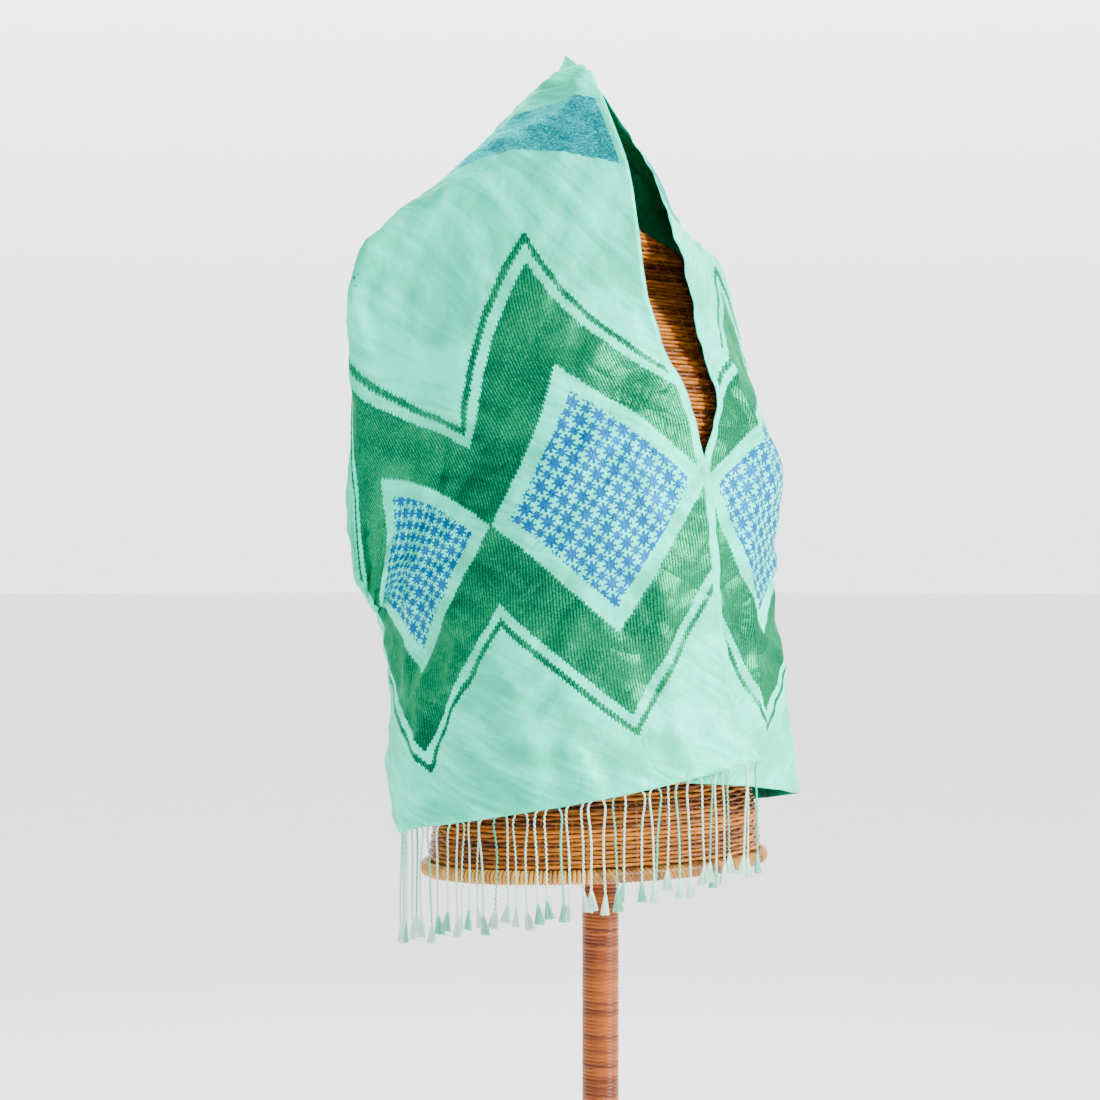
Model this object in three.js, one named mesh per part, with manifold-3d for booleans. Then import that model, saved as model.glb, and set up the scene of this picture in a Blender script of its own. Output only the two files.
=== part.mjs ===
// A shawl worn on a cane dress form.
//
// Millimetres, +Z up, floor at z = 0 under the middle of the stand. The form
// faces -Y, and the wearer's right is -X. The shawl is one woven length: it
// stands up behind the neck, falls over both shoulders and hangs down the
// front, the right end, which has the fringe, over the plain left one.
import * as THREE from 'three';
import { mergeVertices } from 'three/addons/utils/BufferGeometryUtils.js';
import Module from 'manifold-3d';

// ---- driving dimensions -------------------------------------------------
const SHAWL_WIDTH = 400;        // selvedge to selvedge
const HALF_LENGTH = 740;        // centre back to either hem, without fringe
const CLOTH = 2;                // wall of the cloth
const PART_GAP = 0.3;           // between pieces that meet
const SEAM_GAP = 0.6;           // along the cloth, which is gathered there
const STRETCH_END = 190;        // where the back stretch meets the fronts
const BACKING_DEPTH = 4;        // strip that holds the roots of the fringe
const STRANDS = 43;             // twisted strands at the right end
const STRAND_LENGTH = 102;      // from the hem to the tip of its tuft
const TUFT_LENGTH = 17;
const STRAND_RADIUS = 1.1;
const TUFT_RADIUS = 3.1;
const FORM_BOTTOM = 705;        // underside of the form's rim
const RIM_HEIGHT = 13;
const RIM_WALL = 9;
const POLE_RADIUS = 16.6;
const BASE_RADIUS = 150;
const BASE_HEIGHT = 24;
const COLLAR_RADIUS = 32;
const COLLAR_TOP = 50;
const HIP_GAP = 7;              // least air between cloth and hips
const HIP_TOP = 960;            // the hips hold the cloth out below this
const GRID = { front: 28, back: 20, across: 22 };

// ---- shape tables -------------------------------------------------------
// The inner edge, which runs from the centre back round the neck and down
// the front: distance along the cloth, then its place.
const EDGE_COLUMNS = ['along', 'x', 'y', 'z'];
const RIGHT_EDGE = [
  [0, 0, 45, 1441],
  [35, -18, 12, 1427],
  [70, -32, -17, 1417],
  [112, -44, -50, 1392],
  [150, -49, -72, 1362],
  [190, -51, -94, 1323],
  [250, -49, -106, 1266],
  [320, -42, -112, 1199],
  [360, -28, -114, 1164],
  [400, -10, -120, 1130],
  [470, 0, -138, 1063],
  [620, 12, -148, 917],
  [690, 22, -154, 850],
  [740, 38, -166, 808],
];
const LEFT_EDGE = [
  [0, 0, 45, 1441],
  [36, 30, 51, 1425],
  [80, 56, 42, 1388],
  [130, 64, 12, 1348],
  [190, 64, -16, 1297],
  [250, 54, -48, 1250],
  [330, 40, -84, 1180],
  [400, 44, -102, 1122],
  [465, 10, -122, 1062],
  [620, -10, -130, 910],
  [740, -30, -140, 791],
];
// How one line across the cloth runs from the inner edge to the outer one:
// its turn towards the back (0 is straight outwards, 90 straight back) and
// its climb above level, in degrees, at each of these shares of the width.
const SHARES = [0, 0.15, 0.35, 0.6, 1];
const FALL_COLUMNS = ['along', 'turn x5', 'climb x5'];
const RIGHT_FALL = [
  [0, 90, 90, 90, 90, 90, -62, -66, -76, -84, -90],
  [70, 54, 60, 70, 82, 90, -14, -36, -64, -80, -90],
  [112, 55, 60, 66, 80, 90, 4, -24, -54, -78, -90],
  [180, 50, 54, 60, 72, 92, 16, 6, -26, -70, -88],
  [250, 42, 44, 52, 72, 100, 8, 10, 6, -58, -90],
  [320, 24, 30, 48, 74, 94, -6, -4, -8, -48, -84],
  [385, 10, 18, 46, 80, 96, -12, -12, -12, -36, -66],
  [440, 8, 16, 42, 82, 104, -13, -13, -13, -26, -44],
  [500, 8, 16, 40, 82, 112, -13, -12, -12, -14, -22],
  [620, 8, 14, 36, 80, 118, -12, -11, -11, -11, -11],
  [740, 6, 10, 24, 70, 110, -10, -10, -10, -10, -10],
];
const LEFT_FALL = [
  [0, 90, 90, 90, 90, 90, -62, -66, -76, -84, -90],
  [36, 60, 66, 76, 84, 90, -54, -64, -80, -86, -90],
  [80, 50, 56, 66, 82, 90, -32, -50, -74, -84, -90],
  [130, 40, 46, 56, 76, 90, -14, -28, -66, -82, -90],
  [190, 34, 38, 54, 76, 92, -4, -8, -42, -78, -88],
  [250, 32, 34, 40, 64, 92, 12, 12, -12, -58, -86],
  [330, 20, 28, 40, 68, 84, -4, -4, -8, -56, -76],
  [400, 10, 18, 60, 80, 104, -12, -12, -10, -52, -64],
  [465, 2, 8, 48, 90, 110, -12, -12, -18, -16, -32],
  [540, 2, 12, 44, 90, 118, -12, -12, -12, -12, -12],
  [620, 0, 8, 34, 88, 120, -10, -10, -10, -10, -11],
  [740, -2, 3, 24, 84, 130, -4, -6, -8, -9, -10],
];
// The largest folds: a soft ridge (or trough, where it is negative) from one
// point of the cloth to another, with its half width and its height at each
// end. The right half is along < 0.
const FOLD_COLUMNS = ['along 1', 'across 1', 'along 2', 'across 2', 'half width', 'height 1', 'height 2'];
const FOLDS = [
  [-270, 226, -306, 306, 32, 18, 8],    // ridge of the right shoulder
  [-268, 240, -294, 276, 18, 12, 10],     // and its point
  [-30, 150, -46, 400, 26, 2, 11],      // falls down the back
  [28, 170, 40, 400, 26, 2, 10],
  [88, 190, 104, 400, 24, 1, 9],
  [-104, 190, -122, 400, 24, 1, 8],
  [440, 120, 420, 210, 30, 7, 9],       // slack below the left breast
  [520, 150, 700, 160, 22, 5, 4],       // soft crease down the left front
  [-330, 0, -352, 40, 15, 3, 1.5],      // pinch in the right inner edge
  [-620, 330, -736, 350, 34, 5, 8],     // roll along the right outer edge
];
// The form, ring by ring from the top of the neck: height, half width,
// front, back, squareness (2 is an ellipse) and its lean to the left.
const FORM_COLUMNS = ['z', 'half width', 'front', 'back', 'squareness', 'lean'];
const FORM = [
  [1392, 8, 14, 30, 2, -8],
  [1388, 16, 6, 38, 2, -8],
  [1378, 20, 2, 42, 2, -8],
  [1340, 20, 2, 42, 2, -8],
  [1310, 26, -4, 48, 2, -8],
  [1292, 44, -12, 62, 2, -8],
  [1276, 92, -16, 76, 2, -8],
  [1260, 144, -16, 82, 2.1, -7],
  [1242, 181.3, -14, 84, 2.2, -6.8],
  [1226, 184.6, -22, 88, 2.2, -7],
  [1200, 170, -50, 92, 2.1, -7],
  [1160, 146, -82, 96, 2, -8],
  [1110, 138, -104, 94, 2, -6],
  [1070, 134, -110, 90, 2, -4],
  [1030, 130, -102, 86, 2, -2],
  [960, 126, -90, 82, 2, 0],
  [900, 132, -90, 86, 2, 0],
  [840, 146, -98, 98, 2, 0],
  [780, 160, -106, 110, 2, 0],
  [730, 170, -112, 119, 2, 0],
  [705, 172, -112, 121, 2, 0],
];

// ---- curves through table rows -----------------------------------------
const radians = (degrees) => (degrees * Math.PI) / 180;

/** Smooth curve through rows of numbers; the first column is its distance. */
function through(rows) {
  const width = rows[0].length - 1;
  const step = rows.slice(1).map((row, i) => row[0] - rows[i][0]);
  const slope = step.map((h, i) => Array.from({ length: width },
    (_, c) => (rows[i + 1][c + 1] - rows[i][c + 1]) / h));
  const tangent = rows.map((_, i) => {
    if (i === 0) return slope[0];
    if (i === rows.length - 1) return slope[i - 1];
    const a = step[i - 1];
    const b = step[i];
    return slope[i].map((s, c) => (slope[i - 1][c] * b + s * a) / (a + b));
  });
  return (at) => {
    let i = 0;
    while (i < step.length - 1 && at >= rows[i + 1][0]) i += 1;
    const h = step[i];
    const t = (at - rows[i][0]) / h;
    const [t2, t3] = [t * t, t * t * t];
    return Array.from({ length: width }, (_, c) => (2 * t3 - 3 * t2 + 1) * rows[i][c + 1]
      + (t3 - 2 * t2 + t) * h * tangent[i][c]
      + (3 * t2 - 2 * t3) * rows[i + 1][c + 1]
      + (t3 - t2) * h * tangent[i + 1][c]);
  };
}

/** The two halves of a table as one, with the right half's turns mirrored. */
function bothHalves(right, left, mirror) {
  const other = right.slice(1).reverse().map((row) => [-row[0], ...row.slice(1).map(mirror)]);
  return [...other, ...left];
}

const edgeAt = through(bothHalves(RIGHT_EDGE, LEFT_EDGE, (value) => value));
const fallAt = through(bothHalves(RIGHT_FALL, LEFT_FALL,
  (value, column) => (column < SHARES.length ? 180 - value : value)));
const ringAt = through([...FORM].reverse());

/** Ring of the form at a height, as half width, middle, half depth, squareness. */
function formRing(z) {
  const [half, front, back, square, lean] = ringAt(Math.min(Math.max(z, FORM_BOTTOM), FORM[0][0]));
  return { half, middle: (front + back) / 2, depth: (back - front) / 2, square, lean };
}

/** Radius of the form from its middle towards (x, y), over the point's own. */
function formShare(x, y, ring) {
  const q = (Math.abs(x) / ring.half) ** ring.square
    + (Math.abs(y - ring.middle) / ring.depth) ** ring.square;
  return q ** (-1 / ring.square);
}

/** Moves a point out of the hips' way, level and from their middle (no lean there). */
function clearOfHips(point, gap, softness) {
  const ring = formRing(point.z);
  const radius = Math.hypot(point.x, point.y - ring.middle);
  const need = radius * formShare(point.x, point.y, ring) + gap;
  const fade = THREE.MathUtils.smoothstep(HIP_TOP - point.z, 0, 80);
  const push = softness * Math.log1p(Math.exp((need - radius) / softness)) * fade;
  point.x *= 1 + push / radius;
  point.y = ring.middle + (point.y - ring.middle) * (1 + push / radius);
  return point;
}

// ---- the cloth's middle surface ----------------------------------------
const LINE_STEPS = 80;

/** One line across the cloth: points at equal steps from the inner edge. */
function lineAcross(along) {
  const fall = fallAt(along);
  const rows = SHARES.map((share, i) => [share, fall[i], fall[i + SHARES.length]]);
  const directionAt = through(rows);
  const point = new THREE.Vector3(...edgeAt(along));
  const line = [point.clone()];
  const step = SHAWL_WIDTH / LINE_STEPS;
  for (let i = 0; i < LINE_STEPS; i += 1) {
    const [turn, climb] = directionAt((i + 0.5) / LINE_STEPS).map(radians);
    point.x += step * Math.cos(climb) * Math.cos(turn);
    point.y += step * Math.cos(climb) * Math.sin(turn);
    point.z += step * Math.sin(climb);
    line.push(point.clone());
  }
  return line;
}

const lines = new Map();

/** Point of the plain surface, before its folds. */
function drape(along, across) {
  const key = along.toFixed(3);
  if (!lines.has(key)) lines.set(key, lineAcross(along));
  const line = lines.get(key);
  const at = THREE.MathUtils.clamp((across / SHAWL_WIDTH) * LINE_STEPS, 0, LINE_STEPS);
  const i = Math.min(Math.floor(at), LINE_STEPS - 1);
  return clearOfHips(line[i].clone().lerp(line[i + 1], at - i), HIP_GAP, 4);
}

/** Height of the folds at a point of the cloth. */
function foldHeight(along, across) {
  return FOLDS.reduce((sum, [a1, c1, a2, c2, half, height1, height2]) => {
    const [da, dc] = [a2 - a1, c2 - c1];
    const t = THREE.MathUtils.clamp(((along - a1) * da + (across - c1) * dc) / (da * da + dc * dc), 0, 1);
    const away = Math.hypot(along - a1 - t * da, across - c1 - t * dc) / half;
    return sum + THREE.MathUtils.lerp(height1, height2, t) * Math.exp(-away * away);
  }, 0);
}

/** Point of the surface with its folds, and the direction away from the form. */
function clothAt(along, across) {
  const d = 2;
  const a1 = Math.min(along + d, HALF_LENGTH);
  const a0 = Math.max(along - d, -HALF_LENGTH);
  const c1 = Math.min(across + d, SHAWL_WIDTH);
  const c0 = Math.max(across - d, 0);
  const alongWay = drape(a1, across).sub(drape(a0, across));
  const acrossWay = drape(along, c1).sub(drape(along, c0));
  const out = alongWay.cross(acrossWay).normalize();
  const point = drape(along, across).addScaledVector(out, foldHeight(along, across));
  return { point, out };
}

// ---- solids --------------------------------------------------------------
/** Closed mesh from vertices and faces; each face is wound as seen from outside. */
function solid(name, vertices, faces, colour, roughness) {
  let geometry = new THREE.BufferGeometry();
  geometry.setAttribute('position', new THREE.Float32BufferAttribute(vertices.flat(), 3));
  geometry.setIndex(faces.flat());
  geometry = mergeVertices(geometry, 1e-4);
  geometry.computeVertexNormals();
  const material = new THREE.MeshStandardMaterial({ color: colour, roughness });
  material.name = name;
  const mesh = new THREE.Mesh(geometry, material);
  mesh.name = name;
  return mesh;
}

/** Wall of cloth over a stretch: both faces and the four edges. */
function clothWall(alongFrom, alongTo, cellsAlong, cellsAcross, acrossFrom = 0, acrossTo = SHAWL_WIDTH) {
  const [rows, columns] = [cellsAlong + 1, cellsAcross + 1];
  const vertices = [];
  [CLOTH / 2, -CLOTH / 2].forEach((offset) => {
    for (let i = 0; i < rows; i += 1) {
      for (let j = 0; j < columns; j += 1) {
        const { point, out } = clothAt(
          THREE.MathUtils.lerp(alongFrom, alongTo, i / cellsAlong),
          THREE.MathUtils.lerp(acrossFrom, acrossTo, j / cellsAcross));
        vertices.push(point.addScaledVector(out, offset).toArray());
      }
    }
  });
  const inner = rows * columns;
  const faces = [];
  const quad = (a, b, c, d) => faces.push([a, b, c], [a, c, d]);
  for (let i = 0; i < cellsAlong; i += 1) {
    for (let j = 0; j < cellsAcross; j += 1) {
      const a = i * columns + j;
      quad(a, a + columns, a + columns + 1, a + 1);
      quad(inner + a, inner + a + 1, inner + a + columns + 1, inner + a + columns);
    }
  }
  for (let i = 0; i < cellsAlong; i += 1) {
    const a = i * columns;
    const b = a + cellsAcross;
    quad(a + columns, a, inner + a, inner + a + columns);
    quad(b, b + columns, inner + b + columns, inner + b);
  }
  for (let j = 0; j < cellsAcross; j += 1) {
    const b = cellsAlong * columns + j;
    quad(j, j + 1, inner + j + 1, inner + j);
    quad(b + 1, b, inner + b, inner + b + 1);
  }
  return { vertices, faces };
}

/** One strand: a three-sided twist with a bell of loose threads at its end. */
function strand(root, out, index) {
  const sway = Math.sin(index * 2.4) * 1.6;
  const length = STRAND_LENGTH + Math.sin(index * 1.7) * 4;
  const stations = [
    { down: -1.5, radius: STRAND_RADIUS, shift: 0 },
    { down: 14, radius: STRAND_RADIUS, shift: 0.5 },
    { down: length * 0.5, radius: STRAND_RADIUS, shift: 1 },
    { down: length - TUFT_LENGTH, radius: STRAND_RADIUS, shift: 0.6 },
    { down: length - 4, radius: TUFT_RADIUS, shift: 0.6 },
  ];
  const side = new THREE.Vector3(-out.y, out.x, 0).normalize();
  const centres = stations.map(({ down, radius, shift }) => {
    const centre = root.clone().addScaledVector(side, sway * shift);
    centre.z -= down;
    return down > BACKING_DEPTH ? clearOfHips(centre, HIP_GAP + radius + 0.5, 1.5) : centre;
  });
  const vertices = [];
  centres.forEach((centre, i) => {
    for (let k = 0; k < 3; k += 1) {
      const angle = radians(120 * k + 25 * i + 40 * index);
      const { radius } = stations[i];
      vertices.push([centre.x + radius * Math.cos(angle), centre.y + radius * Math.sin(angle), centre.z]);
    }
  });
  const tip = centres[centres.length - 1];
  vertices.push([tip.x, tip.y, tip.z - 4]);
  const faces = [[0, 1, 2]];
  for (let i = 0; i < centres.length - 1; i += 1) {
    for (let k = 0; k < 3; k += 1) {
      const [a, b] = [3 * i + k, 3 * i + ((k + 1) % 3)];
      faces.push([b, a, a + 3], [b, a + 3, b + 3]);
    }
  }
  const last = 3 * (centres.length - 1);
  for (let k = 0; k < 3; k += 1) faces.push([last + ((k + 1) % 3), last + k, last + 3]);
  return { vertices, faces };
}

const kernel = await Module();
kernel.setup();

function toManifold({ vertices, faces }) {
  return new kernel.Manifold(new kernel.Mesh({
    numProp: 3,
    vertProperties: new Float32Array(vertices.flat()),
    triVerts: new Uint32Array(faces.flat()),
  }));
}

/** Fringe of the right end: the strip along the hem with every strand fused to it. */
function fringe(name, colour) {
  const wall = clothWall(-HALF_LENGTH, BACKING_DEPTH - HALF_LENGTH, 1, STRANDS);
  const strands = Array.from({ length: STRANDS }, (_, i) => {
    const across = ((i + 0.5) / STRANDS) * SHAWL_WIDTH;
    const { point, out } = clothAt(BACKING_DEPTH / 2 - HALF_LENGTH, across);
    return toManifold(strand(point, out, i));
  });
  const mesh = kernel.Manifold.union([toManifold(wall), ...strands]).getMesh();
  const vertices = [];
  for (let i = 0; i < mesh.vertProperties.length; i += mesh.numProp) {
    vertices.push([...mesh.vertProperties.slice(i, i + 3)]);
  }
  return solid(name, vertices, [[...mesh.triVerts]], colour, 0.7);
}

/** Rings of points joined into a closed solid, with a flat cap at each end. */
function stack(name, rings, colour, roughness) {
  const count = rings[0].length;
  const middle = (ring) => [0, 1, 2].map((c) => ring.reduce((sum, p) => sum + p[c], 0) / count);
  const vertices = [...rings.flat(), middle(rings[0]), middle(rings[rings.length - 1])];
  const faces = [];
  for (let i = 0; i < rings.length - 1; i += 1) {
    for (let k = 0; k < count; k += 1) {
      const [a, b] = [i * count + k, i * count + ((k + 1) % count)];
      faces.push([a, b, b + count], [a, b + count, a + count]);
    }
  }
  const [low, top] = [vertices.length - 2, (rings.length - 1) * count];
  for (let k = 0; k < count; k += 1) {
    faces.push([low, (k + 1) % count, k]);
    faces.push([low + 1, top + k, top + ((k + 1) % count)]);
  }
  return solid(name, vertices, faces, colour, roughness);
}

/** Ring of the form at a height, moved out or in by a distance. */
function outline(z, offset, count) {
  const ring = formRing(z);
  return Array.from({ length: count }, (_, k) => {
    const angle = (2 * Math.PI * k) / count;
    const bend = (value) => Math.sign(value) * Math.abs(value) ** (2 / ring.square);
    const x = ring.lean + (ring.half + offset) * bend(Math.cos(angle));
    const y = ring.middle + (ring.depth + offset) * bend(Math.sin(angle));
    return [x, y, z];
  });
}

const TORSO_SIDES = 40;

/** Body of the form, from its rim to the top of its neck. */
function torso() {
  const bottom = FORM_BOTTOM + RIM_HEIGHT + PART_GAP;
  const heights = [bottom];
  for (let z = 750; z <= 1180; z += 30) heights.push(z);
  heights.push(1200, 1214, 1226, 1234, 1242, 1251, 1260, 1268, 1276, 1284, 1292, 1310, 1340, 1378, 1388, 1392);
  return stack('torso', heights.map((z) => outline(z, 0, TORSO_SIDES)), 0x9c6a3c, 0.7);
}

/** Cane-wrapped band that closes the form's lower edge. */
function rim() {
  const section = [
    [0, 4], [-2.5, RIM_HEIGHT * 0.5], [0, RIM_HEIGHT - 3], [RIM_WALL * 0.25, RIM_HEIGHT],
  ];
  const outer = section.map(([inset, rise]) => ({ offset: 4 - inset, z: FORM_BOTTOM + rise }));
  const loop = [
    { offset: 4 - RIM_WALL * 0.25, z: FORM_BOTTOM }, ...outer.slice(0),
    { offset: 4 - RIM_WALL, z: FORM_BOTTOM + RIM_HEIGHT }, { offset: 4 - RIM_WALL, z: FORM_BOTTOM },
  ];
  const rings = loop.map(({ offset, z }) => outline(FORM_BOTTOM, offset, TORSO_SIDES)
    .map(([x, y]) => [x, y, z]));
  const faces = [];
  rings.forEach((_, i) => {
    const j = (i + 1) % rings.length;
    for (let k = 0; k < TORSO_SIDES; k += 1) {
      const l = (k + 1) % TORSO_SIDES;
      const [a, b, c, d] = [i * TORSO_SIDES + k, i * TORSO_SIDES + l, j * TORSO_SIDES + l, j * TORSO_SIDES + k];
      faces.push([a, b, c], [a, c, d]);
    }
  });
  return solid('rim', rings.flat(), faces, 0xb98a4e, 0.6);
}

/** Board inside the rim, which the pole carries. */
function bottomBoard() {
  const rings = [FORM_BOTTOM + 2, FORM_BOTTOM + RIM_HEIGHT].map((z) => outline(FORM_BOTTOM,
    4 - RIM_WALL - PART_GAP, TORSO_SIDES).map(([x, y]) => [x, y, z]));
  return stack('bottom_board', rings, 0x8a5a30, 0.7);
}

/** Turned solid from rows of radius and height, from the bottom up. */
function turned(name, rows, sides, colour) {
  const rings = rows.map(([radius, z]) => Array.from({ length: sides }, (_, k) => {
    const angle = (2 * Math.PI * k) / sides;
    return [radius * Math.cos(angle), radius * Math.sin(angle), z];
  }));
  return stack(name, rings, colour, 0.6);
}

// ---- assembly -------------------------------------------------------------
const MINT = 0x9fe3cd;
const fringedEnd = BACKING_DEPTH + PART_GAP - HALF_LENGTH;
const stretch = (name, from, to, cells) => {
  const { vertices, faces } = clothWall(from, to, cells, GRID.across);
  return solid(name, vertices, faces, MINT, 0.5);
};

const shawl = new THREE.Group();
shawl.name = 'shawl_on_dress_form';
shawl.add(
  stretch('shawl_right_front', fringedEnd, -STRETCH_END - SEAM_GAP / 2, GRID.front),
  stretch('shawl_back', -STRETCH_END + SEAM_GAP / 2, STRETCH_END - SEAM_GAP / 2, GRID.back),
  stretch('shawl_left_front', STRETCH_END + SEAM_GAP / 2, HALF_LENGTH, GRID.front),
  fringe('fringe_right', 0xc4efe0),
  torso(),
  rim(),
  bottomBoard(),
  turned('pole', [
    [POLE_RADIUS, COLLAR_TOP + PART_GAP],
    [POLE_RADIUS, FORM_BOTTOM + 2 - PART_GAP],
  ], 32, 0xa9683a),
  turned('base', [
    [BASE_RADIUS - 3, 0], [BASE_RADIUS, 3], [BASE_RADIUS, BASE_HEIGHT - 6],
    [BASE_RADIUS - 6, BASE_HEIGHT], [COLLAR_RADIUS + 6, BASE_HEIGHT + 2],
    [COLLAR_RADIUS, BASE_HEIGHT + 8], [COLLAR_RADIUS - 4, COLLAR_TOP],
  ], 48, 0x7a4a28),
);

export default shawl;
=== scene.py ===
"""A fringed silk shawl with metallic weft figures, worn on a cane dress form.

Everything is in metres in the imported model's frame: +Z up, the form faces -Y.
Tables hold millimetres and are turned into metres where a mesh is made.
"""

import math

import bpy
import numpy as np
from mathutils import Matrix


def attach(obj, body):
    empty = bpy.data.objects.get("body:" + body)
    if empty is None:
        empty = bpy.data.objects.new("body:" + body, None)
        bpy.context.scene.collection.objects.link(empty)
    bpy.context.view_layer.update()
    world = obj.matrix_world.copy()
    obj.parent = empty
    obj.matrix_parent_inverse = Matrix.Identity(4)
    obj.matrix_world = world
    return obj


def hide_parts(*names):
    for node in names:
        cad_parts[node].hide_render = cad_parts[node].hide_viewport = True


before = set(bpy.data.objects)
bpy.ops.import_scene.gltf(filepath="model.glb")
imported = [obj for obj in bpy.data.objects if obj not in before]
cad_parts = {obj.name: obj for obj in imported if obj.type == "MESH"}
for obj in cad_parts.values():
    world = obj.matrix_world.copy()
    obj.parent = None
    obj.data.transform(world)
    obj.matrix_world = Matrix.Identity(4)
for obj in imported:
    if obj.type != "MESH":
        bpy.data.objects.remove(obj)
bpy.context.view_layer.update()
MM = 0.001

# ---- sizes, as the solids have them (mm) ----------------------------------
SHAWL_WIDTH, HALF_LENGTH = 400.0, 740.0
STRANDS, STRAND_LENGTH, TUFT_LENGTH = 43, 102.0, 17.0
FORM_BOTTOM, RIM_HEIGHT, RIM_WALL = 705.0, 13.0, 9.0
RIM_OUT = 4                                   # the rim stands this far out of the form's foot
POLE_RADIUS, BASE_RADIUS, BASE_HEIGHT = 16.6, 150.0, 24.0
COLLAR_RADIUS, COLLAR_TOP = 32.0, 50.0
HIP_GAP, HIP_TOP = 7.0, 960.0                 # the cloth keeps this far off the hips, below this height

# ---- woven figures (mm on the flat cloth, along from the centre back) ----------
RIB, REPEAT = 8 / 3, 16.0                     # rib of the figures, repeat of their stars
STAR, SMALL_STAR = 7.5, 5.2                   # radii of the stars to their points
BAND = (125, 194)                             # turquoise bands beside the collar, from and to
PLAIN_EDGE, SELVEDGE_WIDTH = 8, 4             # cloth left bare at the edges, and its pale strip
ZIGZAG_MIDDLE, ZIGZAG_DEPTH, ZIGZAG_PERIOD = 478, 118, 200
STAR_FIELD, ZIGZAG, OUTLINE = 0.82, (1.0, 1.62), (1.72, 1.79)   # shares of the lozenge measure
TOOTH, RAGGED = 1.4, 1.6                      # steps at the figures' edges
FLOAT_LENGTH, SILK_PITCH = 0.9, 0.9           # floats of the metallic weft, waves of the plain weave
HEM_LIGHT_FADE = (640, 735)                         # painted light: the reverse grows paler along this stretch, towards the hem

# ---- cloth and fringe, where they are finer than the solids (mm) ------------
CLOTH = 0.8                                   # real thickness of the cloth
CREASE_SCALE = 2.2                            # the heights of CREASES are multiplied by this
FRINGE_SHORTER = 6.0                          # strands hang this much shorter than the solid's
PLY_RADIUS, PLY_OFFSET, TWIST = 0.64, 0.45, 4.2

# ---- cane (mm) --------------------------------------------------------------
WAIST_LOW, CHEST_LOW, NECK, FORM_TOP = 880.0, 1080.0, 1300.0, 1391.5
WEAVE_FOOT = FORM_BOTTOM + RIM_HEIGHT + 0.5
ROW_PITCH, ROW_RADIUS = 3.7, 1.68
ROW_INSET, ROW_SWING = 3.3, 1.5               # how deep a row's middle lies, and how far it swings
STAKES, STAKE_RADIUS, STAKE_INSET = 64, 1.0, 4.1
SHADE_CORE_INSET, DEEP_INSET = 5.4, 60.0            # dark core, painted shade between the canes; a place far inside, to find what is outward
NECK_PITCH, NECK_RADIUS, NECK_AXIS = 3.1, 1.7, np.array([-8, 22, 0])
RIM_WRAPS, POLE_PITCH = 232, 3.3

# inner edge of the cloth: distance along it from the centre back, then place
RIGHT_EDGE = np.array([
    [0, 0, 45, 1441], [35, -18, 12, 1427], [70, -32, -17, 1417], [112, -44, -50, 1392],
    [150, -49, -72, 1362], [190, -51, -94, 1323], [250, -49, -106, 1266], [320, -42, -112, 1199],
    [360, -28, -114, 1164], [400, -10, -120, 1130], [470, 0, -138, 1063], [620, 12, -148, 917],
    [690, 22, -154, 850], [740, 38, -166, 808],
], float)
LEFT_EDGE = np.array([
    [0, 0, 45, 1441], [36, 30, 51, 1425], [80, 56, 42, 1388], [130, 64, 12, 1348],
    [190, 64, -16, 1297], [250, 54, -48, 1250], [330, 40, -84, 1180], [400, 44, -102, 1122],
    [465, 10, -122, 1062], [620, -10, -130, 910], [740, -30, -140, 791],
], float)
# how a line across the cloth runs: along, its turn to the back x5, its climb x5
SHARES = np.array([0, 0.15, 0.35, 0.6, 1])
RIGHT_FALL = np.array([
    [0, 90, 90, 90, 90, 90, -62, -66, -76, -84, -90],
    [70, 54, 60, 70, 82, 90, -14, -36, -64, -80, -90],
    [112, 55, 60, 66, 80, 90, 4, -24, -54, -78, -90],
    [180, 50, 54, 60, 72, 92, 16, 6, -26, -70, -88],
    [250, 42, 44, 52, 72, 100, 8, 10, 6, -58, -90],
    [320, 24, 30, 48, 74, 94, -6, -4, -8, -48, -84],
    [385, 10, 18, 46, 80, 96, -12, -12, -12, -36, -66],
    [440, 8, 16, 42, 82, 104, -13, -13, -13, -26, -44],
    [500, 8, 16, 40, 82, 112, -13, -12, -12, -14, -22],
    [620, 8, 14, 36, 80, 118, -12, -11, -11, -11, -11],
    [740, 6, 10, 24, 70, 110, -10, -10, -10, -10, -10],
], float)
LEFT_FALL = np.array([
    [0, 90, 90, 90, 90, 90, -62, -66, -76, -84, -90],
    [36, 60, 66, 76, 84, 90, -54, -64, -80, -86, -90],
    [80, 50, 56, 66, 82, 90, -32, -50, -74, -84, -90],
    [130, 40, 46, 56, 76, 90, -14, -28, -66, -82, -90],
    [190, 34, 38, 54, 76, 92, -4, -8, -42, -78, -88],
    [250, 32, 34, 40, 64, 92, 12, 12, -12, -58, -86],
    [330, 20, 28, 40, 68, 84, -4, -4, -8, -56, -76],
    [400, 10, 18, 60, 80, 104, -12, -12, -10, -52, -64],
    [465, 2, 8, 48, 90, 110, -12, -12, -18, -16, -32],
    [540, 2, 12, 44, 90, 118, -12, -12, -12, -12, -12],
    [620, 0, 8, 34, 88, 120, -10, -10, -10, -10, -11],
    [740, -2, 3, 24, 84, 130, -4, -6, -8, -9, -10],
], float)
# folds of the solids: along 1, across 1, along 2, across 2, half width, height 1, height 2
FOLDS = np.array([
    [-270, 226, -306, 306, 32, 18, 8],
    [-268, 240, -294, 276, 18, 12, 10],
    [-30, 150, -46, 400, 26, 2, 11],
    [28, 170, 40, 400, 26, 2, 10],
    [88, 190, 104, 400, 24, 1, 9],
    [-104, 190, -122, 400, 24, 1, 8],
    [440, 120, 420, 210, 30, 7, 9],
    [520, 150, 700, 160, 22, 5, 4],
    [-330, 0, -352, 40, 15, 3, 1.5],
    [-620, 330, -736, 350, 34, 5, 8],
], float)
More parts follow.
